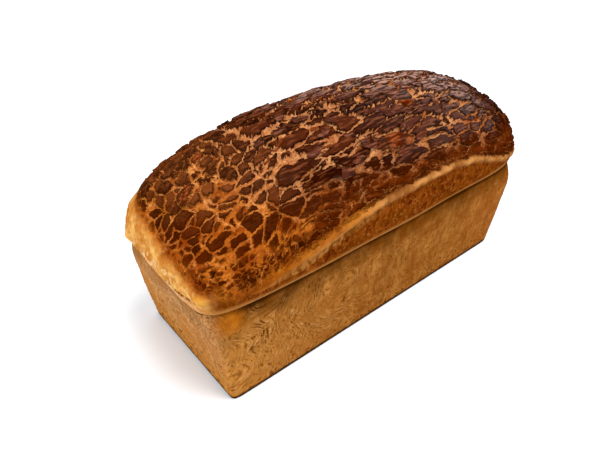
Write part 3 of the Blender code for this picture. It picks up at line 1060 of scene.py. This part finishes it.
def flake_material(fibres):
    """The dried paste at its darkest, drawn along the loaf."""
    material, net, shader = new_material("lifted_flake")
    place = net.node("ShaderNodeTexCoord").outputs["Object"]
    fibrous = net.group(fibres, place=place)
    wide = net.ramp(net.noise(place, 90), 0.35, 0.65)
    skin = net.coats(
        net.paint(wide, (44, 14, 4), (92, 40, 18)),
        (net.ramp(fibrous["Fibre"], 0.48, 0.64, 0.0, 0.75), (146, 84, 58)),
        # A painted sheen pales the flakes toward the back
        (net.times(fibrous["Painted sheen"], 0.90), PAINTED_SHEEN),
    )
    finish = {
        "Base Color": skin,
        "Roughness": 0.65,
        "Specular IOR Level": 0.0,
        "Coat Weight": 0.14,
        "Coat Roughness": COAT_ROUGHNESS,
        "Normal": bumped(net, fibrous["Fibre"], 1.0, 0.0010),
    }
    net.fill(shader, finish)
    return material


def wall_material(mottle):
    """The walls: mottled and streaked, wrinkled where they dried, with painted light and shade on the
    wrinkles, painted shade at the seam under the lip, and a painted contact shadow at the foot.
    """
    material, net, shader = new_material("tin_baked_side")
    rest = attribute(net, "rest", "Vector")
    x, _, z = net.parts(rest)
    blotch = net.group(mottle, place=rest, size=60.0)["Mask"]
    bent = net.moved(rest, net.stray(rest, 60), 0.006)
    streak = net.noise(bent, (280.0, 280.0, 60.0), 5.0, 0.65)
    speck = net.noise(rest, 600, 4.0, 0.65)
    found = net.group(wrinkle_group(COLOUR), place=rest)
    # The wrinkles' folds get a painted highlight and their creases a painted shade
    fold = net.times(found["Fold"], found["Where"])
    crease = net.times(found["Crease"], found["Where"])

    near = net.fall(x, -0.141, -0.131)
    long_side = net.coats(
        net.paint(blotch, (144, 80, 22), (194, 128, 56)),
        (net.ramp(streak, 0.40, 0.66, 0.0, 0.65), (136, 76, 20)),
        (net.ramp(x, -0.15, 0.0, 0.55, 0.0), (222, 150, 68)),
        (net.ramp(x, 0.06, 0.13, 0.0, 0.45), (172, 94, 34)),
    )
    end_face = net.paint(blotch, (182, 116, 56), (226, 168, 110))
    pore = net.math("SUBTRACT", net.noise(rest, 240), net.ramp(z, 0.004, 0.030, 0.575, 0.66))
    # Painted shade on the wall under the lip: a broad darkening below it, and a dark painted shadow line
    # just under its edge, broken up on the near end
    ragged = net.times(net.uneven(rest, 90, 4.0, 0.65), 0.030)
    under_lip_shade = net.ramp(net.add(z, ragged), WALL_HEIGHT - 0.024, WALL_HEIGHT, 0.0, 0.85)
    high = net.add(z, net.times(ragged, 0.1))
    lip_edge_shadow = net.ramp(high, WALL_HEIGHT - 0.0050, WALL_HEIGHT - 0.0010, 0.0, 0.85)
    broken_lip_edge_shadow = net.times(net.ramp(high, WALL_HEIGHT - 0.0032, WALL_HEIGHT - 0.0018, 0.0, 0.95), near)
    broken_lip_edge_shadow = net.times(broken_lip_edge_shadow, net.ramp(net.noise(rest, 190), 0.42, 0.54))
    lip_edge_shadow = net.math("MAXIMUM", net.times(lip_edge_shadow, net.rest_of(near)), broken_lip_edge_shadow)
    from_spot = net.measure("DISTANCE", rest, ORANGE_SPOT)
    skin = net.coats(
        net.paint(near, long_side, end_face),
        (crease, (100, 44, 0)),
        (net.times(fold, 0.60), (222, 160, 94)),
        (net.ramp(pore, 0.0, 0.05, 0.0, 0.80), (122, 58, 6)),
        (net.times(under_lip_shade, net.blend(near, 1.0, 0.3)), (104, 52, 0)),
        (lip_edge_shadow, (52, 24, 2)),
        (net.ramp(speck, 0.5, 0.75, 0.0, 0.6), (122, 66, 20)),
        (net.ramp(from_spot, 0.002, 0.013, 0.6, 0.0), (212, 118, 18)),
        # A painted contact shadow along the foot
        (net.ramp(z, 0.0018, 0.0050, 0.95, 0.0), (44, 20, 6)),
    )
    grain = net.add(net.times(speck, 0.5), net.times(fold, 0.9), net.times(crease, -0.5))
    finish = {
        "Base Color": skin,
        "Roughness": net.ramp(speck, 0.3, 0.7, 0.60, 0.80),
        "Specular IOR Level": 0.0,
        "Normal": bumped(net, grain, 0.9, 0.0010),
    }
    net.fill(shader, finish)
    return material


# The studio


def floor_piece():
    corners = np.array([(-3, -3, 0), (3, -3, 0), (3, 3, 0), (-3, 3, 0)], float)
    floor = plain_mesh("floor", corners, [(0, 1, 2, 3)], {})
    material, net, shader = new_material("pale_floor")
    net.fill(shader, {"Base Color": (0.92, 0.95, 0.98, 1), "Roughness": 0.9})
    floor.data.materials.append(material)
    return floor


def soft_light(name, place, size, power):
    """A round white light at this place that shines at the loaf."""
    data = bpy.data.lights.new(name, "AREA")
    data.shape = "DISK"
    data.size = size
    data.energy = power
    light = new_object(name, data)
    light.location = place
    way = Vector(LIGHT_AIM) - Vector(place)
    light.rotation_euler = way.to_track_quat("-Z", "Y").to_euler()


def studio():
    scene = bpy.context.scene
    world = bpy.data.worlds.new("studio_air")
    world.use_nodes = True
    air = world.node_tree.nodes["Background"]
    air.inputs["Color"].default_value = (1, 1, 1, 1)
    air.inputs["Strength"].default_value = AIR_STRENGTH
    scene.world = world
    scene.view_settings.view_transform = "Standard"
    soft_light("high_right", (0.12, -0.50, 1.60), size=0.8, power=20)
    soft_light("low_left", (-1.3, -0.2, 0.7), size=1.0, power=8)


def camera():
    azimuth, elevation = math.radians(CAMERA_AZIMUTH), math.radians(CAMERA_ELEVATION)
    roll = math.radians(CAMERA_ROLL)
    reach = math.cos(elevation)
    back = Vector((math.sin(azimuth) * reach, -math.cos(azimuth) * reach, math.sin(elevation)))
    level = (-back).cross(Vector((0, 0, 1))).normalized()
    upright = level.cross(-back)
    right = math.cos(roll) * level + math.sin(roll) * upright
    up = math.cos(roll) * upright - math.sin(roll) * level
    data = bpy.data.cameras.new("photo_view")
    data.sensor_width = SENSOR_WIDTH
    data.lens = SENSOR_WIDTH * CAMERA_FOCUS_IN_WIDTHS
    data.clip_start = 0.01
    view = new_object("photo_view", data)
    turn = Matrix((right, up, back)).transposed().to_4x4()
    turn.translation = Vector(CAMERA_TARGET) + back * CAMERA_DISTANCE
    view.matrix_world = turn
    bpy.context.scene.camera = view


def build():
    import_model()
    camera()
    studio()
    floor_piece()

    mottle, fibres = mottle_group(), fibre_group()
    crust, wall = dome_material(mottle, fibres), wall_material(mottle)
    smooth_dome = dome_piece()
    flakes = new_object("crust_flakes", smooth_dome.data.copy())
    dome = shaped(
        smooth_dome,
        relief_tree(),
        {
            "Crust material": crust,
            "Crackle depth": 1.4,
            "Lump depth": 0.0016,
            "Strand depth": 0.0012,
            "Bulge depth": 0.0040,
        },
    )
    sides = shaped(
        sides_piece(),
        wall_relief_tree(),
        {"Wall material": wall, "Dent depth": 0.0012, "Wrinkle depth": 0.0005},
    )
    flakes = shaped(
        flakes,
        flake_tree(),
        {
            "Flake material": flake_material(fibres),
            "Gap": 0.0130,
            "Flake length": 0.0150,
            "Flake thickness": 0.0015,
            "Curl": 0.0009,
            "Height over skin": 0.0006,
            "Seed": 5,
        },
    )
    for piece in (dome, sides, flakes):
        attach(piece, "root")
        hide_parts("loaf")


build()
